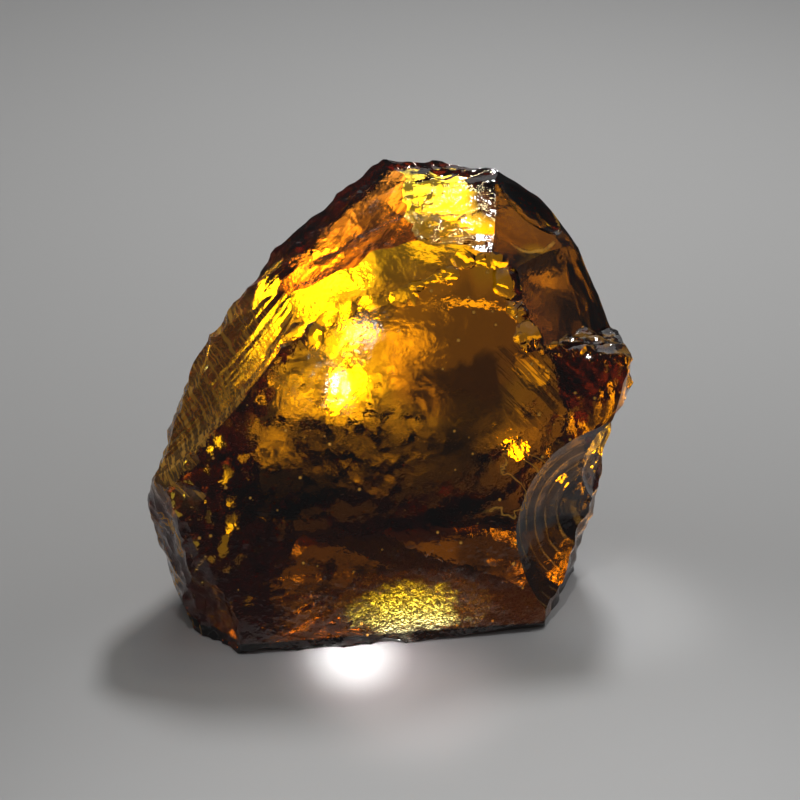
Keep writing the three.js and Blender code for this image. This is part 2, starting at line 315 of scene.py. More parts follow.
def place(piece, where):
    """Moves a piece's mesh to a place given in mm, and leaves its object at the origin."""
    shift = where.copy()
    shift.translation = shift.translation * MM
    piece.data.transform(shift)
    piece.data.update()


def carve(stone, cutter, operation="DIFFERENCE"):
    """Takes the cutter off the stone, or keeps what they share, and removes the cutter."""
    only(stone)
    tool = stone.modifiers.new("carve", "BOOLEAN")
    tool.operation = operation
    tool.solver = "MANIFOLD"
    tool.object = cutter
    bpy.ops.object.modifier_apply(modifier=tool.name)
    bpy.data.objects.remove(cutter)


# %% [markdown]
# ## Split the block
#
# The block is a cube. Bisect splits it along each plane, throws the outer side away and closes
# the cut, as a mason splits a boulder. A little is left on each face, because the relief is cut
# from it afterwards. The foot is the one face that stays flat, for the stone to rest on.

# %% Split the block along its planes
SPARE = 1.2  # mm left on each face for its relief to be cut from
MERGE = 1e-7  # metres within which the points of a cut are one

bpy.ops.object.select_all(action="DESELECT")
bpy.ops.mesh.primitive_cube_add(size=1, location=BLOCK_CENTRE * MM, scale=BLOCK_SIZE * MM)
stone = bpy.context.object
stone.name = "rough_topaz"
bpy.ops.object.transform_apply(location=True, rotation=True, scale=True)
bpy.ops.object.mode_set(mode="EDIT")
for name, face in [*FACES.items(), ("base", BASE)]:
    outwards = facing(face["azimuth"], face["rise"])
    spare = 0 if name == "base" else SPARE
    bpy.ops.mesh.select_all(action="SELECT")
    bpy.ops.mesh.bisect(
        plane_co=(HEART + outwards * (face["reach"] + spare)) * MM,
        plane_no=outwards,
        use_fill=True,
        clear_outer=True,
        threshold=MERGE,
    )
bpy.ops.object.mode_set(mode="OBJECT")
print("the split block has", len(stone.data.polygons), "faces")


# %% [markdown]
# ## Where each break lies
#
# A sheet of relief has to cover its own face and should not be much larger, or it would cut into
# the faces beside it. So the middle and the size of each face are measured on the split block.

# %% Where each break lies on its plane
ON_PLANE = 0.05  # mm within which a point lies on the plane


def outline_of(face, spare):
    """The middle and half size, in the plane's own s and t, of the face that lies on it."""
    outwards = facing(face["azimuth"], face["rise"])
    where = seat(HEART + outwards * (face["reach"] + spare), outwards)
    turn = where.to_3x3()
    origin = turn.transposed() @ where.translation
    flat = points_of(stone) @ np.array(turn) - np.array(origin)
    on = flat[flat[:, 2] > flat[:, 2].max() - ON_PLANE][:, :2]
    return (on.max(0) + on.min(0)) / 2, (on.max(0) - on.min(0)) / 2


outlines = {name: outline_of(face, SPARE) for name, face in FACES.items()}
for name, (middle, half) in outlines.items():
    print(f"  {name}: middle {middle.round(1)}, half size {half.round(1)} mm")


# %% [markdown]
# ## Cut the relief
#
# Each face is cut with a slab: a grid is extruded, and the points of its inner side are moved to
# the height of the relief. The boolean modifier then leaves the relief in the stone, and where
# two slabs meet they make an edge that wanders as a broken edge does. Displacing the faces of the
# block would tear those edges open.

# %% Cut each break's own relief
MARGIN = 3  # mm of slab beyond the face on every side
FACE_CELL, FACE_SLAB = 0.45, 6  # mm from point to point of a large break's slab, and its thickness


def sheet(face, middle, half, cell, thick, spare=0):
    """A slab over one face. Its inner side carries the relief of the break."""
    size = 2 * (half + MARGIN)
    count = [max(2, round(length / (cell * FINE))) for length in size]
    bpy.ops.object.select_all(action="DESELECT")
    bpy.ops.mesh.primitive_grid_add(x_subdivisions=count[0], y_subdivisions=count[1], size=MM)
    slab = bpy.context.object
    bpy.ops.object.mode_set(mode="EDIT")
    bpy.ops.mesh.select_all(action="SELECT")
    bpy.ops.mesh.extrude_region_move(TRANSFORM_OT_translate={"value": (0, 0, thick * MM)})
    bpy.ops.mesh.select_all(action="SELECT")
    bpy.ops.mesh.normals_make_consistent(inside=False)
    bpy.ops.object.mode_set(mode="OBJECT")
    points = points_of(slab)
    s, t = points[:, 0] * size[0] + middle[0], points[:, 1] * size[1] + middle[1]
    inner = points[:, 2] < thick / 2
    z = np.where(inner, np.minimum(relief(face, s, t), thick - spare), thick)
    move_points(slab, np.stack([s, t, z], axis=1))
    outwards = facing(face["azimuth"], face["rise"])
    foot = face["at"] if "at" in face else HEART + outwards * face["reach"]
    place(slab, seat(foot, outwards))
    return slab


for name, face in FACES.items():
    carve(stone, sheet(face, *outlines[name], FACE_CELL, FACE_SLAB))
print("after the breaks:", len(stone.data.polygons), "faces")

# %% [markdown]
# ## The step
#
# On the right a corner is missing, down to a broad dark floor and a short crumbly riser. Floor
# and riser are two slabs as before. What both of them would take is what was broken off.

# %% The step
floor_sheet = sheet(
    STEP["stepFloor"], middle=np.array([17, 3.8]), half=np.array([22, 24]), cell=0.4, thick=40
)
riser_sheet = sheet(
    STEP["stepRiser"], middle=np.array([-6, 8]), half=np.array([30, 34]), cell=0.5, thick=60
)
carve(floor_sheet, riser_sheet, "INTERSECT")
carve(stone, floor_sheet)
print("after the step:", len(stone.data.polygons), "faces")

# %% [markdown]
# ## The broad shells
#
# The back is one wide hollow, the right foot a bowl with fine arcs, and the left corner and the
# notch on the right are smaller ones. A shell-shaped break is a shallow part of a sphere, so its
# slab has a dish for relief: bend is the radius of the sphere and bite how deep it goes. The foot
# has a shallow crumbly hollow too, which the stone shows from above as a grainy patch.

# %% The broad shells
SHELL_CELL = 0.36  # mm from point to point of a shell's slab, unless the table says another
ABOVE, UNCUT = 9, 5  # mm of slab over the bite, and how much of that the relief stays out of
SHELLS = {
    "backShell": dict(azimuth=190, rise=-4, at=(0, 19.9, 20), bend=62, bite=4.2,
                      lumps=[(0.45, 9, 31), (0.1, 2.5, 32)], rings=[(0.03, 0.9, 30, 18, 0, 0, 90)],
                      crumbs=[(1.3, 2.4, 3, 11, -8, 15), (0.5, 1.0, 5, 6, -3, 14)]),
    "backSpall": dict(azimuth=208, rise=-4, at=(-13, 15.8, 11), bend=14, bite=1.6,
                      lumps=[(0.2, 4, 33)], rings=[(0.03, 0.8, 0, 12, 0, 0, 30)],
                      crumbs=[(0.5, 1.2, 6, 0, 0, 8)]),
    "bowl": dict(azimuth=16, rise=12, at=(26, -5.3, 12.4), bend=15.5, bite=5.6,
                 lumps=[(0.3, 5, 34)],
                 rings=[(0.07, 2.6, 0, 0, 0, 0, 60), (0.02, 0.8, 0, 0, 0, 0, 60)]),
    "bowlLedge": dict(azimuth=32, rise=-6, at=(18.2, -11, 3.4), bend=7, bite=1.5,
                      lumps=[(0.15, 3, 35)], rings=[(0.03, 0.7, 0, 0, 0, 0, 30)]),
    "rightNotch": dict(azimuth=78, rise=-8, at=(25.6, 0.6, 18), bend=8, bite=2.4,
                       lumps=[(0.3, 4, 37)], crumbs=[(0.5, 1.4, 12, 0, 0, 12)]),
    "leftCorner": dict(azimuth=325, rise=-4, at=(-20.8, -12.8, 4.2), bend=9, bite=2.2,
                       lumps=[(0.25, 3, 36)], rings=[(0.05, 0.9, 3, 0, 0, 0, 30)],
                       crumbs=[(0.5, 1.3, 7, 0, 0, 9)]),
    "footHollow": dict(azimuth=0, rise=-90, at=(3, -1, 0), bend=60, bite=0.8,
                       crumbs=[(0.5, 1.1, 14, 0, 0, 40)], cell=0.22),
}
for flake in SHELLS.values():
    flake["dish"] = (flake["bend"], 0, 0)
    flake["at"] = Vector(flake["at"]) - facing(flake["azimuth"], flake["rise"]) * flake["bite"]


def shell(flake):
    """What one shell-shaped break takes off: a flake, thickest in its middle."""
    rim = math.sqrt(2 * flake["bend"] * flake["bite"])
    cell = flake.get("cell", SHELL_CELL)
    return sheet(flake, np.zeros(2), np.array([rim, rim]), cell, flake["bite"] + ABOVE, UNCUT)


for flake in SHELLS.values():
    carve(stone, shell(flake))
print("after the shells:", len(stone.data.polygons), "faces")

# %% [markdown]
# ## The hollow breaks
#
# A long hollow runs down the left shoulder like a flute, with ribs along it, and small ones, shaped
# like lenses, sit on the edges. Each is struck with an egg: a sphere, stretched, ribbed and sunk
# by its bite.

# %% The hollow breaks
SCOOPS = {
    "flute": dict(at=(-19.2, -2.1, 29.3), way=(304, 41), spin=-104, size=(20, 6.8, 5), bite=1.8,
                  mesh=(150, 90), ribs=((0.1, 36), (0.05, 83))),
    "outlineNotch": dict(at=(-14.8, 7.4, 39.8), way=(300, 45), spin=58, size=(8, 3.2, 3), bite=1.2,
                         mesh=(48, 32)),
    "leftLens": dict(at=(-22.5, 1.4, 28.4), way=(275, 30), spin=129, size=(7, 3, 3), bite=0.9,
                     mesh=(48, 40), rings=(0.03, 8)),
    "ridgeLens": dict(at=(-10.4, -2.4, 35.8), way=(340, 35), spin=37, size=(3.4, 1.5, 1.5),
                      bite=0.7, mesh=(32, 24)),
    "rightLens": dict(at=(16.9, 13.6, 44.1), way=(59, 51), spin=-74, size=(6.4, 3.6, 3.6), bite=1,
                      mesh=(56, 40)),
}


def scoop(name, at, way, spin, size, bite, mesh, ribs=(), rings=()):
    """What one hollow break takes off: an egg, ribbed along its length or ringed across it."""
    half_length, half_width, radius = size
    bpy.ops.object.select_all(action="DESELECT")
    bpy.ops.mesh.primitive_uv_sphere_add(
        segments=round(mesh[0] / FINE), ring_count=round(mesh[1] / FINE), radius=MM
    )
    egg = bpy.context.object
    egg.name = name
    pole, side, up = points_of(egg)[:, [2, 0, 1]].T
    middle = np.hypot(side, up)
    grow = np.ones_like(pole)
    round_it = np.arctan2(up, side)
    for height, count in ribs:
        wander = 0.8 * np.sin(2.3 * pole) + 2.2 * np.sin(4.3 * round_it + 1.4 * pole)
        grow += height / radius * np.sin(count * round_it + wander) * middle
    if rings:
        height, count = rings
        grow += height / radius * np.sin(2 * count * np.arccos(np.clip(pole, -1, 1))) * middle
    shape = [pole * half_length, side * half_width * grow, up * radius * grow]
    move_points(egg, np.stack(shape, axis=1))
    outwards = facing(*way)
    place(egg, seat(Vector(at) + outwards * (radius - bite), outwards, spin))
    return egg


for name, hollow in SCOOPS.items():
    carve(stone, scoop(name, **hollow))
print("after the hollows:", len(stone.data.polygons), "faces")

# %% [markdown]
# ## The chipped edges
#
# Every edge of the real stone is nibbled, in places to a string of tiny stairs. A bevel would
# make the edges even, which is the one thing they are not. Instead small lumpy balls bite along
# the edge, a few large and many small, each with a place, size and lean from a repeatable run of
# numbers.

# %% Where the edges are
RUN_FACTOR, RUN_STEP, RUN_RANGE = 1103515245, 12345, 2147483648  # a common choice


def numbers(seed):
    """A repeatable run of numbers between 0 and 1."""
    state = float(seed)
    while True:
        state = (state * RUN_FACTOR + RUN_STEP) % RUN_RANGE
        yield state / RUN_RANGE


def edge_between(first, second):
    """Where two planes meet: the point nearest the heart, the way along, the way out."""
    a, b = facing(first["azimuth"], first["rise"]), facing(second["azimuth"], second["rise"])
    c = a.dot(b)
    nearest = (
        HEART
        + a * ((first["reach"] - c * second["reach"]) / (1 - c * c))
        + b * ((second["reach"] - c * first["reach"]) / (1 - c * c))
    )
    return nearest, a.cross(b).normalized(), (a + b).normalized()


print("the front and the slope meet near", edge_between(FACES["front"], FACES["slope"])[0])

# %% [markdown]
# ## Strike the chips
#
# Each row of the table is an edge, where the chips start and end along it, how many large ones
# there are and how large. The small ones are twice as many and reach a little further.

# %% Strike the chips
CHIPPED_EDGES = [
    (("front", "slope"), -15.5, -8.5, 6, 1.1),
    (("front", "slope"), -7, 9, 5, 1.3),
    (("front", "shoulder"), 8, 23, 15, 0.9),
    (("front", "leftFront"), 4, 22, 8, 2),
    (("front", "stepFloor"), 0.5, 10, 6, 1.1),
    (("front", "stepRiser"), -26, -14, 10, 1.2),
    (("top", "crown"), -11, -1, 7, 1.1),
    (("crown", "backCrownRight"), -5, -1.5, 3, 1.3),
    (("shoulder", "backStrip"), -3.5, 9, 7, 1.3),
    (("rightSide", "backRight"), -17, 8, 9, 1.8),
    (("rightSide", "rightCorner"), -6, 1, 3, 1.6),
    (("leftFoot", "leftFront"), -19, -4, 6, 1.6),
    (("front", "base"), -21, -3, 9, 1.3),
    (("back", "backRight"), 2, 17, 5, 2),
    (("back", "backLeft"), -22, -9, 5, 2),
]
CHIP_BITE, CHIP_LEAN, CHIP_LUMPS = 0.16, 0.5, 0.05  # as shares of a chip's radius
LUMP_WAVES = np.array([[7, 3, 2], [2, -6, 5], [4, 5, 6]])
LARGE, SMALL = 2, 0.9  # the sizes of the few and of the many, as shares of the table's
FIRST_SEED, SEED_STEP = 11, 97
SECOND_RUN = 40  # what keeps the run of numbers of the small ones apart


def chips(row, edge, start, end, count, size):
    """The flakes that are missing along one edge, joined to one cutter."""
    planes = {**FACES, **STEP, "base": BASE}
    nearest, along, outwards = edge_between(planes[edge[0]], planes[edge[1]])
    run = numbers(row * SEED_STEP + FIRST_SEED)

    def between(low, high):
        return low + (high - low) * next(run)

    cutter = None
    for i in range(count):
        where = start + (end - start) * (i + between(0.2, 0.8)) / count
        radius = size * between(0.7, 1.3)
        lean = Vector((between(-1, 1), between(-1, 1), between(-1, 1)))
        opens = (outwards + lean * CHIP_LEAN).normalized()
        middle = nearest + along * where + opens * (radius * (1 - CHIP_BITE))
        stretch = (between(0.9, 1.5), between(0.8, 1.1), 1)
        bpy.ops.object.select_all(action="DESELECT")
        bpy.ops.mesh.primitive_ico_sphere_add(subdivisions=3, radius=radius * MM)
        flake = bpy.context.object
        points = points_of(flake) * np.array(stretch)
        wild = CHIP_LUMPS * radius * np.sin(points @ LUMP_WAVES / radius)
        move_points(flake, points + wild)
        place(flake, seat(middle, opens, between(0, 180)))
        if cutter is None:
            cutter = flake
        else:
            carve(cutter, flake, "UNION")
    return cutter


for row, (edge, start, end, count, size) in enumerate(CHIPPED_EDGES):
    carve(stone, chips(row, edge, start, end, count, LARGE * size))
    carve(stone, chips(row + SECOND_RUN, edge, start - 1, end + 1, 2 * count, SMALL * size))
print("after the chips:", len(stone.data.polygons), "faces")

# %% [markdown]
# ## Finish the surface
#
# The cuts leave numbers of other materials and flat shading behind. Both are put right, and the
# stone moves to the place that the part has. Then each face gets the number of the break it lies
# on, found by comparing its middle with the relief of every break. The material uses that number
# to treat one break otherwise than the next.

# %% Finish the surface
SHARP = 0.45  # radians: an edge that turns more than this stays sharp

stone.data.materials.clear()
stone.data.polygons.foreach_set("material_index", [0] * len(stone.data.polygons))
place(stone, Matrix.Translation(TO_PART))
only(stone)
bpy.ops.object.shade_smooth_by_angle(angle=SHARP)
print("the stone has", len(stone.data.polygons), "faces")


def number_breaks(stone, breaks, tolerance=0.12):
    """Writes on each face the number of the break that it lies on, counted from 1."""
    middles = np.empty(3 * len(stone.data.polygons))
    stone.data.polygons.foreach_get("center", middles)
    middles = middles.reshape(-1, 3) / MM - np.array(TO_PART)
    nearest = np.full(len(middles), tolerance)
    numbers_found = np.zeros(len(middles))
    for number, face in enumerate(breaks, 1):
        outwards = facing(face["azimuth"], face["rise"])
        foot = face["at"] if "at" in face else HEART + outwards * face["reach"]
        into_sheet = np.array(seat(foot, outwards).inverted())
        s, t, height = (middles @ into_sheet[:3, :3].T + into_sheet[:3, 3]).T
        gap = np.abs(height - relief(face, s, t))
        closer = gap < nearest
        nearest[closer] = gap[closer]
        numbers_found[closer] = number
    layer = stone.data.attributes.new("break_number", "FLOAT", "FACE")
    layer.data.foreach_set("value", numbers_found)


BREAKS = {**FACES, **STEP, **SHELLS}
number_breaks(stone, BREAKS.values())
check = bmesh.new()
check.from_mesh(stone.data)
print("open edges:", sum(1 for e in check.edges if len(e.link_faces) != 2))
check.free()

# %% [markdown]
# ## Shader maths
#
# Node trees are hard to read as code. One class wraps a socket, so that sums on it can be written
# as sums, also with a plain number first. One function adds any other node.

# %% Shader maths
class Wire:
    """A shader socket that can be used in sums."""

    def __init__(self, tree, socket):
        self.tree, self.socket = tree, socket

    def math(self, operation, *others):
        values = dict(enumerate((self, *others)))
        return node(self.tree, "ShaderNodeMath", {"operation": operation}, values)

    def __add__(self, other):
        return self.math("ADD", other)

    def __sub__(self, other):
        return self.math("SUBTRACT", other)

    def __rsub__(self, other):
        return self * -1 + other

    def __mul__(self, other):
        return self.math("MULTIPLY", other)

    def __truediv__(self, other):
        return self.math("DIVIDE", other)

    __radd__, __rmul__ = __add__, __mul__


def node(tree, kind, settings=None, inputs=None, output=0):
    """Adds a node, sets what it is first and its sockets then, and gives one of its outputs."""
    made = tree.nodes.new(kind)
    for name, value in (settings or {}).items():
        setattr(made, name, value)
    for name, value in (inputs or {}).items():
        if isinstance(value, Wire):
            tree.links.new(value.socket, made.inputs[name])
        else:
            made.inputs[name].default_value = value
    return Wire(tree, made.outputs[output])


# %% [markdown]
# ## The crystal
#
# The stone is clear and deep amber. Its colour is not on its surface: light loses green and blue
# on its way, so thin places are yellow and deep ones red-brown. That is plain transmission with
# the index of topaz, and a volume that absorbs.

# %% The crystal
glass = bpy.data.materials.new("amber_topaz")
glass.use_nodes = True
tree = glass.node_tree
skin = tree.nodes["Principled BSDF"]
skin.inputs["Transmission Weight"].default_value = 1
skin.inputs["IOR"].default_value = 1.62
depth = tree.nodes.new("ShaderNodeVolumeAbsorption")
depth.inputs["Color"].default_value = (0.918, 0.805, 0.0, 1)
depth.inputs["Density"].default_value = 400
tree.links.new(depth.outputs["Volume"], tree.nodes["Material Output"].inputs["Volume"])
print("the crystal's index of refraction is", round(skin.inputs["IOR"].default_value, 2))

# %% [markdown]
# ## Masks
#
# On top of the clear crystal come frost on the rough breaks, a fine bump, painted shade, a red
# tint, specks of dust, veins and painted highlights. Each needs a mask, a number from 0 to 1 for
# every point of the stone.
# Painted masks would need an image. These are worked out from noise, from distances to places on
# the stone, and from the numbers of the breaks, so they stay sharp at any size.

# %% Masks
on_stone = node(tree, "ShaderNodeTexCoord", output="Object")
MIX_A, MIX_B, MIX_RESULT = 6, 7, 2  # the colour sockets of a Mix node


def noise(scale, detail=2.0, distortion=0.0):
    """Cloudy noise with scale clouds to the metre, from 0 to 1."""
    how = {"Vector": on_stone, "Scale": scale, "Detail": detail, "Distortion": distortion}
    return node(tree, "ShaderNodeTexNoise", {}, how, "Fac")


def stroked(across, onwards, lean, distortion):
    """Noise drawn out along one line, which leans from level by an angle about Y."""
    drawn = (onwards, 6 * across, across)
    frame_of = {"Vector": on_stone, "Rotation": (0, lean, 0), "Scale": drawn}
    spot = node(tree, "ShaderNodeMapping", {"vector_type": "TEXTURE"}, frame_of)
    how = {"Vector": spot, "Scale": 1, "Detail": 3, "Distortion": distortion}
    return node(tree, "ShaderNodeTexNoise", {}, how, "Fac")


def close_to(x, y, z, radius):
    """1 at a place on the stone, in mm of the block, and 0 beyond radius."""
    middle = (Vector((x, y, z)) + TO_PART) * MM
    ends = {0: on_stone, 1: middle}
    far = node(tree, "ShaderNodeVectorMath", {"operation": "DISTANCE"}, ends, "Value")
    return (1 - far / (radius * MM)).math("MAXIMUM", 0)


def along(axis):
    """Where a point of the stone is along an axis of the block, in mm."""
    part = node(tree, "ShaderNodeSeparateXYZ", {}, {"Vector": on_stone}, axis)
    return part / MM - TO_PART["XYZ".index(axis)]


def soft(mask, low, high):
    """0 below low, 1 above high, and smooth between."""
    how = {"Value": mask, "From Min": low, "From Max": high}
    return node(tree, "ShaderNodeMapRange", {"interpolation_type": "SMOOTHSTEP"}, how)


def on_break(name):
    """1 on the faces of the break with that name, and 0 elsewhere."""
    number = node(tree, "ShaderNodeAttribute", {"attribute_name": "break_number"}, {}, "Fac")
    return number.math("COMPARE", 1 + list(BREAKS).index(name), 0.3)


def most(*masks):
    """The strongest of several masks."""
    strongest = masks[0]
    for mask in masks[1:]:
        strongest = strongest.math("MAXIMUM", mask)
    return strongest


def blend(amount, first, second):
    """The first colour where amount is 0, the second where it is 1."""
    colours = {"Factor": amount, MIX_A: first, MIX_B: second}
    return node(tree, "ShaderNodeMix", {"data_type": "RGBA"}, colours, MIX_RESULT)


print("masks can single out any of", len(BREAKS), "breaks")

# %% [markdown]
# ## Frost and fine bump
#
# The slope and the upper left are grainy, the crumbly foot most of all. Roughness blurs what is
# seen through them, and the bump adds grains too small to be cut as shape.

# %% Frost and fine bump
SMOOTH, FROSTED = 0.03, 0.17  # roughness of a clean break, and what frost adds
BUMP_HEIGHT = 0.00012  # metres

grain = noise(1300, 3)
cloud = noise(260, 3, 0.6)
streaks = stroked(0.0005, 0.008, -0.75, 0.2)
ribs = stroked(0.0004, 0.007, 0.8, 0.5)
upper_left = soft(close_to(-12, 6, 36, 22), 0.0, 0.4)
grainy_slope = on_break("slope") * 0.9
grainy_foot = on_break("footHollow") * 2
frost = most(upper_left * soft(cloud, 0.4, 0.6), upper_left * 0.3, grainy_slope, grainy_foot)
roughness = SMOOTH + FROSTED * frost
tree.links.new(roughness.socket, skin.inputs["Roughness"])
foot_grain = grainy_foot * (noise(3200, 1) - 0.5) * 2.5
height = (grain - 0.5) * (0.25 + frost) + (noise(420, 3) - 0.5) * 1.2 + foot_grain
how = {"Height": height, "Strength": 1.0, "Distance": BUMP_HEIGHT}
bump = node(tree, "ShaderNodeBump", {}, how, "Normal")
tree.links.new(bump.socket, skin.inputs["Normal"])
print("with frost and bump the crystal has", len(tree.nodes), "nodes")

# %% [markdown]
# ## The painted shade
#
# Parts of the stone are nearly black: its lower back, the step and the bowl on the right, bands
# across the front. Inside a real stone they lie in shade, where cracks and breaks throw the light
# back. Modelling them inside would cost many triangles, so painted shade stands for them: a dark
# film that tints what passes, with a red tint under it in a few places. It is a guess at what
# cannot be seen, placed with ragged ovals and the numbers of the breaks. It leaves the hot spots
# free, the two brightest places of the front.

# %% The painted shade
# clear, a red tint, and the near-black colour of the painted shade
CLEAR, RED_TINT, SHADE_BLACK = (1, 1, 1, 1), (0.95, 0.2, 0.2, 1), (0.003, 0.001, 0.0005, 1)

x, y, z = along("X"), along("Y"), along("Z")
ragged_x = x + (noise(150, 4, 0.5) - 0.5) * 9
ragged_z = z + (noise(170, 4, 0.5) - 0.5) * 9


def oval(at, half, turn=0.0):
    """1 inside a ragged oval on the front face, in mm, falling to 0 at its rim."""
    level, steep = math.cos(math.radians(turn)), math.sin(math.radians(turn))
    u = ((ragged_x - at[0]) * level + (ragged_z - at[1]) * steep) / half[0]
    v = ((ragged_z - at[1]) * level - (ragged_x - at[0]) * steep) / half[1]
    return soft(1 - (u * u + v * v).math("SQRT"), 0, 0.35)


# painted shade at the back, low down and in a patch on the left
behind = soft(y, 6, 9)  # only the far half of the stone
low_back = soft(16.5 - 0.25 * x - z, -1.5, 2.5) * (0.96 - 0.1 * soft(x - z, -1, 2))
left_back = soft(close_to(-14, 15, 18, 9), 0.0, 0.5) * soft(cloud, 0.42, 0.52) * 0.9
back_shade = behind * most(low_back, left_back)
# painted shade on the step and the right crown, but for one patch
gleam = soft(close_to(18.5, 5, 40, 5), 0.1, 0.5) * 0.01  # one patch lets a little gold through
right_shade = most(on_break("stepFloor"), on_break("rightCrown")) * (1 - gleam)
# painted shade round the lens on the right, on the strip, the crown, the bowl and the slope
lens_shade = soft(close_to(14, 12.5, 43, 7), 0.0, 0.3)
strip_shade = on_break("strip") * (0.4 + 0.5 * soft(streaks, 0.42, 0.56))
crown_shade = on_break("crown") * 0.9
# rings round the middle of the bowl, broken up by noise
ring_place = (1 - close_to(26, -5.3, 12.4, 40)) * 270 + noise(90, 2) * 9
arcs = soft(ring_place.math("SINE"), 0.75, 1) * soft(noise(200, 3), 0.42, 0.6)
bowl_shade = on_break("bowl") * (0.93 - 0.8 * arcs)
slope_shade = on_break("slope") * 0.5
# painted shade darkens the underside but for a ragged patch in its hollow
foot_place = close_to(1.6, -4.2, 0, 10) + (noise(230, 4) - 0.5) * 0.9
foot_shade = soft(1.5 - z, 0, 0.3) * (1 - soft(foot_place, 0.3, 0.85))
# painted shade across the front, in ragged ovals
front_shade = on_break("front") * most(
    oval((6, 26), (11.5, 7.5), 20) * 0.97,  # the broad shade right of the hot spots
    oval((11, 33), (8, 8), 40) * 0.65,  # its softer upper end
    oval((16.5, 29), (6, 6)) * soft(ribs, 0.46, 0.54) * 0.93,  # the streaked fan by the step
    oval((-9, 20), (13, 4.5), 20) * 0.9,  # the band below the hot spots
    oval((-5, 35.5), (13, 1.6), 29) * 0.8,  # the thin band below the slope
    oval((13, 10.5), (7, 4.5)) * 0.85,  # the patch beside the bowl
)
# all the painted shade together
painted_shade = most(
    front_shade,
    back_shade,
    right_shade,
    lens_shade,
    strip_shade,
    crown_shade,
    bowl_shade,
    slope_shade,
    foot_shade,
)
# a red tint in a few places, under the painted shade
red_tint = most(
    on_break("strip"),
    on_break("stepFloor") * 0.8,
    on_break("front") * oval((8, 34), (12, 9)) * 0.5,
)
# the painted shade tints what passes, over the red tint
tone = blend(painted_shade, blend(red_tint, CLEAR, RED_TINT), SHADE_BLACK)
tree.links.new(tone.socket, skin.inputs["Base Color"])
print("with the film it has", len(tree.nodes), "nodes")

# %% [markdown]
# ## Specks, veins and painted highlights
#
# Dust lies on the front and thin veins run through the left foot. Painted highlights stand for the
# light caught by the crumbled ribs of the left flank, the arcs of the bowl, the crumbs of the riser
# and the lower rim of the lens on the right. All are opaque and pale gold, so a second shader is
# mixed in where they are.

# %% Specks, veins and painted highlights
# the pale gold of the dust and veins and of the painted highlights
PALE_GOLD = (1, 0.52, 0.1, 1)

cells = {"Vector": on_stone, "Scale": 620}
dots = node(tree, "ShaderNodeTexVoronoi", {}, cells, "Distance")
pick = node(tree, "ShaderNodeTexVoronoi", {}, cells, "Color")
specks = (1 - soft(dots, 0.08, 0.15)) * pick.math("GREATER_THAN", 0.5)
veins = 1 - soft((noise(110, 4, 1.2) - 0.5).math("ABSOLUTE"), 0.0, 0.016)
veined = most(on_break("leftFront"), on_break("leftFoot"), soft(close_to(17, -6, 17, 7), 0, 0.3))
# where a painted highlight lies on the ribs of the left flank
flank = soft(close_to(-20, -2, 27, 14), 0, 0.3) * (1 - on_break("front"))
# where a painted highlight runs along the lower rim of the lens on the right
lens_far = (1 - close_to(14, 12.5, 43, 20)) * 20 - 6.3 + (noise(160, 3) - 0.5) * 1.8
lens_line = soft(0.28 - lens_far.math("ABSOLUTE"), 0, 0.2) * soft(45 - z, 0, 2)
lens_line = lens_line * most(on_break("stepFloor"), on_break("rightCrown"))
# real dust and veins, and painted highlights on the flank, the bowl's arcs, the riser and the lens
# rim
dust_and_highlight_place = most(
    on_break("front") * specks,
    veins * veined * 0.6,
    flank * (0.18 + 0.62 * soft(ribs, 0.47, 0.6)),
    on_break("bowl") * arcs * 0.3,
    on_break("stepRiser") * soft(noise(700, 3), 0.5, 0.6) * 0.25,
    lens_line * soft(noise(420, 2), 0.35, 0.6) * 0.6,
)
# one pale gold shader for the dust and veins and for the painted highlights
dust_and_highlight = node(tree, "ShaderNodeBsdfDiffuse", {}, {"Color": PALE_GOLD}, "BSDF")
dust_and_highlight_mix = node(tree, "ShaderNodeMixShader", {}, {0: dust_and_highlight_place}, "Shader")
tree.links.new(skin.outputs["BSDF"], dust_and_highlight_mix.socket.node.inputs[1])
tree.links.new(dust_and_highlight.socket, dust_and_highlight_mix.socket.node.inputs[2])
tree.links.new(dust_and_highlight_mix.socket, tree.nodes["Material Output"].inputs["Surface"])
print("with specks, veins and ribs it has", len(tree.nodes), "nodes")

# %% [markdown]
# ## Hand the stone to the part
#
# The stone rides on the part's one body and is shown in place of its plain solid.

# %% Hand the stone to the part
stone.data.materials.append(glass)
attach(stone, "root")
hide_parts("stone")
print(stone.name, "takes the place of the part's stone")

# %% [markdown]
# ## The floor
#
# The stone lies on a sheet of plain pale paper, wide enough to fill the view. It is stage, not
# part.

# %% The floor
FLOOR_SIZE, FLOOR_DROP = 6, 0.0001  # metres; the drop keeps it clear of the foot
PALE_GREY, PAPER_ROUGHNESS = (0.6, 0.6, 0.6, 1), 0.8

bpy.ops.object.select_all(action="DESELECT")
bpy.ops.mesh.primitive_plane_add(size=FLOOR_SIZE, location=(0, 0, -FLOOR_DROP))
paper_floor = bpy.context.object
paper_floor.name = "paper_floor"
paper = bpy.data.materials.new("pale_paper")
paper.use_nodes = True
paper_skin = paper.node_tree.nodes["Principled BSDF"]
paper_skin.inputs["Base Color"].default_value = PALE_GREY
paper_skin.inputs["Roughness"].default_value = PAPER_ROUGHNESS
paper_floor.data.materials.append(paper)
print("the floor is", FLOOR_SIZE, "m wide")

# %% [markdown]
# ## The camera
#
# The camera looks down on the stone by 28 degrees, from about 22 cm, with a long lens. Its place
# follows from the scale of the frame and the place of the stone's foot in it, so both can be
# corrected with one number each.

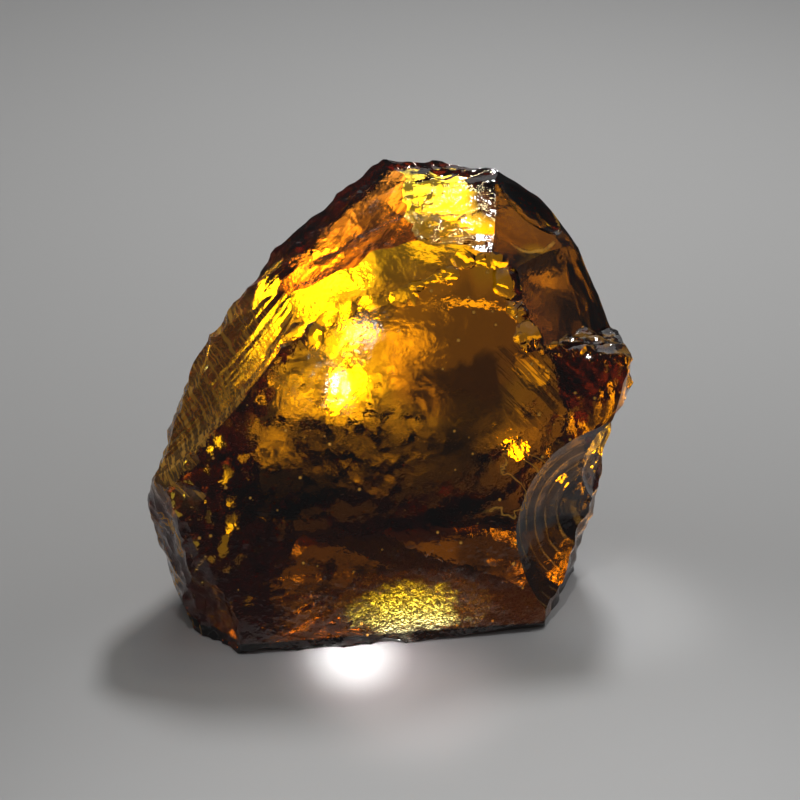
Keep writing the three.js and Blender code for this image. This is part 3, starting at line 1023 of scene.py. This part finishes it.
# %% The camera
LENS, SENSOR = 85, 36
SCALE = 0.1184  # mm of the stone that one pixel of the 800-pixel frame covers
LOOK_DOWN = math.radians(28)
FRAME_PIXELS = 800
FOOT_PIXEL = (388, 592.5)  # the pixel of the block's own origin
AIM_DEPTH = 8  # mm towards the camera, where the scale holds
right_of = (FRAME_PIXELS / 2 - FOOT_PIXEL[0]) * SCALE
above = (FOOT_PIXEL[1] - FRAME_PIXELS / 2) * SCALE
towards = Vector((0, -math.cos(LOOK_DOWN), math.sin(LOOK_DOWN)))
upwards = Vector((0, math.sin(LOOK_DOWN), math.cos(LOOK_DOWN)))
aim = Vector((right_of, 0, 0)) + upwards * above + towards * AIM_DEPTH + TO_PART
distance = FRAME_PIXELS * SCALE * LENS / SENSOR
camera_data = bpy.data.cameras.new("camera")
camera_data.lens = LENS
camera_data.sensor_width = SENSOR
camera_data.clip_start = 0.01
camera = bpy.data.objects.new("camera", camera_data)
bpy.context.scene.collection.objects.link(camera)
camera.location = (aim + towards * distance) * MM
camera.rotation_euler = (-towards).to_track_quat("-Z", "Y").to_euler()
bpy.context.scene.camera = camera
print("the camera is", round(distance), "mm from what it looks at")

# %% [markdown]
# ## The lights
#
# A clear dark stone shows what lies behind it, so most of its lights stand there. They are of
# three kinds: lamps, which are round and soft, spots that make small pools of light on the floor,
# and torches, small bright discs close to the stone.
#
# A torch is made as bright as its glow says, whatever its size: the power of a disc of even
# brightness is that brightness times pi times its area.

# %% Three kinds of light
SHIFT = TO_PART * MM
WHITE, WARM = (1, 1, 1), (1, 0.86, 0.5)
BULB = 0.004  # metres: what softens the edge of a pool


def spot_at(*metres):
    """A place near the block, in metres, in the part's own frame."""
    return Vector(metres) + SHIFT


def hang(name, kind, at, target, watts, colour):
    """A light at one place that is aimed at another."""
    light = bpy.data.lights.new(name, kind)
    light.energy = watts
    light.color = colour
    holder = bpy.data.objects.new(name, light)
    bpy.context.scene.collection.objects.link(holder)
    holder.location = at
    holder.rotation_euler = (target - at).to_track_quat("-Z", "Y").to_euler()
    return holder


def lamp(name, at, target, size, watts, colour=WHITE):
    """A round soft light."""
    holder = hang(name, "AREA", at, target, watts, colour)
    holder.data.shape = "DISK"
    holder.data.size = size
    return holder


def pool(name, at, target, radius, watts, colour=WHITE):
    """A narrow soft-edged spot that makes a round pool of light on the floor."""
    spot = hang(name, "SPOT", at, target, watts, colour).data
    spot.spot_size = 2 * math.atan(radius / (target - at).length)
    spot.spot_blend = 1
    spot.shadow_soft_size = BULB


def torch(name, at, way, size, glow):
    """A small bright disc close to the stone, seen only through it or in its mirror."""
    watts = glow * math.pi**2 * (size * MM / 2) ** 2
    holder = lamp(name, at, at + Vector(way).normalized(), size * MM, watts)
    holder.visible_camera = False


print("lights are placed from", [round(x, 4) for x in SHIFT], "m, where the block's own origin is")

# %% [markdown]
# ## Hang the lights
#
# The main lamp stands behind and above on the right and throws the shadow forwards, and a small
# warm one above it makes the glints of the top facet. The pools behind the stone glow through it
# as gold, and the torches close to its back make the hot spots. Two sparks in front are mirrored
# in the front face and whiten them, and a lamp under the foot lights the hollow there. This is
# how such a stone is lit on purpose, and it is arranged for this view.

# %% Hang the lights
# each is where it hangs and aims, in metres, its radius on the floor, its watts and its colour
POOLS = {
    "pool_slope": ((0.0, 0.16, 0.26), (-0.002, 0.037, 0), 0.012, 30),
    "pool_left": ((0.0, 0.17, 0.26), (-0.015, 0.045, 0), 0.01, 20),
    "pool_right": ((0.0, 0.17, 0.26), (0.019, 0.029, 0), 0.0055, 8),
    "pool_glow": ((0.0, 0.17, 0.26), (0.0, 0.061, 0), 0.01, 16),
    "pool_front": ((0.0, -0.15, 0.2), (-0.0039, -0.0145, 0), 0.0038, 10),
    "pool_halo": ((0.0, -0.15, 0.2), (-0.0035, -0.0155, 0), 0.0085, 1.6, (1, 0.86, 0.86)),
    "pool_fan": ((0.0, -0.15, 0.2), (0.003, -0.022, 0), 0.012, 0.7, (1, 0.84, 0.82)),
    "pool_beside": ((0.12, -0.12, 0.25), (0.027, -0.004, 0), 0.014, 0.6),
    "pool_wide": ((0.0, -0.09, 0.35), (0.015, -0.07, 0), 0.085, 1.5),
}
# each is where it hangs, in mm of the block, which way it shines, its size in mm, and its glow
TORCHES = {
    "torch_top": ((11.9, 27, 26), (0, 0.42, 0.91), 12.8, 4),
    "torch_hot": ((-6.1, 18.2, 19.6), (0.03, -0.8, 0.6), 2.6, 60),
    "torch_second": ((-5.6, 19.6, 26.3), (0.02, -0.9, 0.43), 2.0, 50),
    "torch_tail": ((-6.9, 18, 17.4), (0.03, -0.8, 0.6), 1.6, 50),
    "torch_third": ((-3.4, 19.6, 26.6), (0.02, -0.9, 0.43), 1.2, 50),
    "torch_left": ((-14, 22, 12), (-0.2, -0.6, 0.75), 8, 1.2),
    "torch_flank": ((-7.8, 17.9, 25.4), (-0.42, -0.56, 0.69), 3, 8),
    "torch_edge": ((-13.3, 16.9, 17.7), (-0.17, -0.52, 0.74), 4.5, 3),
    "torch_right": ((17.6, 23.6, 18.6), (-0.36, -0.69, 0.61), 3.6, 1.3),
    "torch_low": ((15.8, 22.4, 7.6), (-0.33, -0.61, 0.74), 1.3, 70),
    "spark_hot": ((-4.2, -11.5, 30.6), (-0.29, 0.96, -0.09), 1.6, 45),
    "spark_second": ((-0.9, -9.5, 36.1), (-0.29, 0.96, -0.09), 1.4, 35),
}

lamp("lamp_above", spot_at(0.055, 0.16, 0.27), spot_at(0, 0, 0.02), 0.05, 0.36)
lamp("lamp_glint", spot_at(0.012, 0.12, 0.29), spot_at(0, 0, 0.04), 0.011, 0.016, WARM)
for name, (at, target, *rest) in POOLS.items():
    pool(name, spot_at(*at), spot_at(*target), *rest)
lamp("lamp_below", spot_at(0.0025, -0.002, -0.00005), spot_at(0.0025, -0.002, 1), 0.019, 0.0056)
for name, (at, way, size, glow) in TORCHES.items():
    torch(name, Vector(at) * MM + SHIFT, way, size, glow)
lamp("panel_behind", spot_at(0, 0.38, 0.3), spot_at(0, 0, 0.02), 0.34, 0.21)
print("lights:", len(bpy.data.lights))

# %% [markdown]
# ## The room
#
# The room around the stage is dim, so the shadows stay dark. Its light is plain white, and the
# picture is shown without a film look, which would grey the gold.

# %% The room
DIM_ROOM = 0.1  # how bright the room is

world = bpy.data.worlds.new("dim_room")
bpy.context.scene.world = world
world.use_nodes = True
world.node_tree.nodes["Background"].inputs["Color"].default_value = (*WHITE, 1)
world.node_tree.nodes["Background"].inputs["Strength"].default_value = DIM_ROOM
bpy.context.scene.view_settings.view_transform = "Standard"
print("the room's light is", DIM_ROOM)
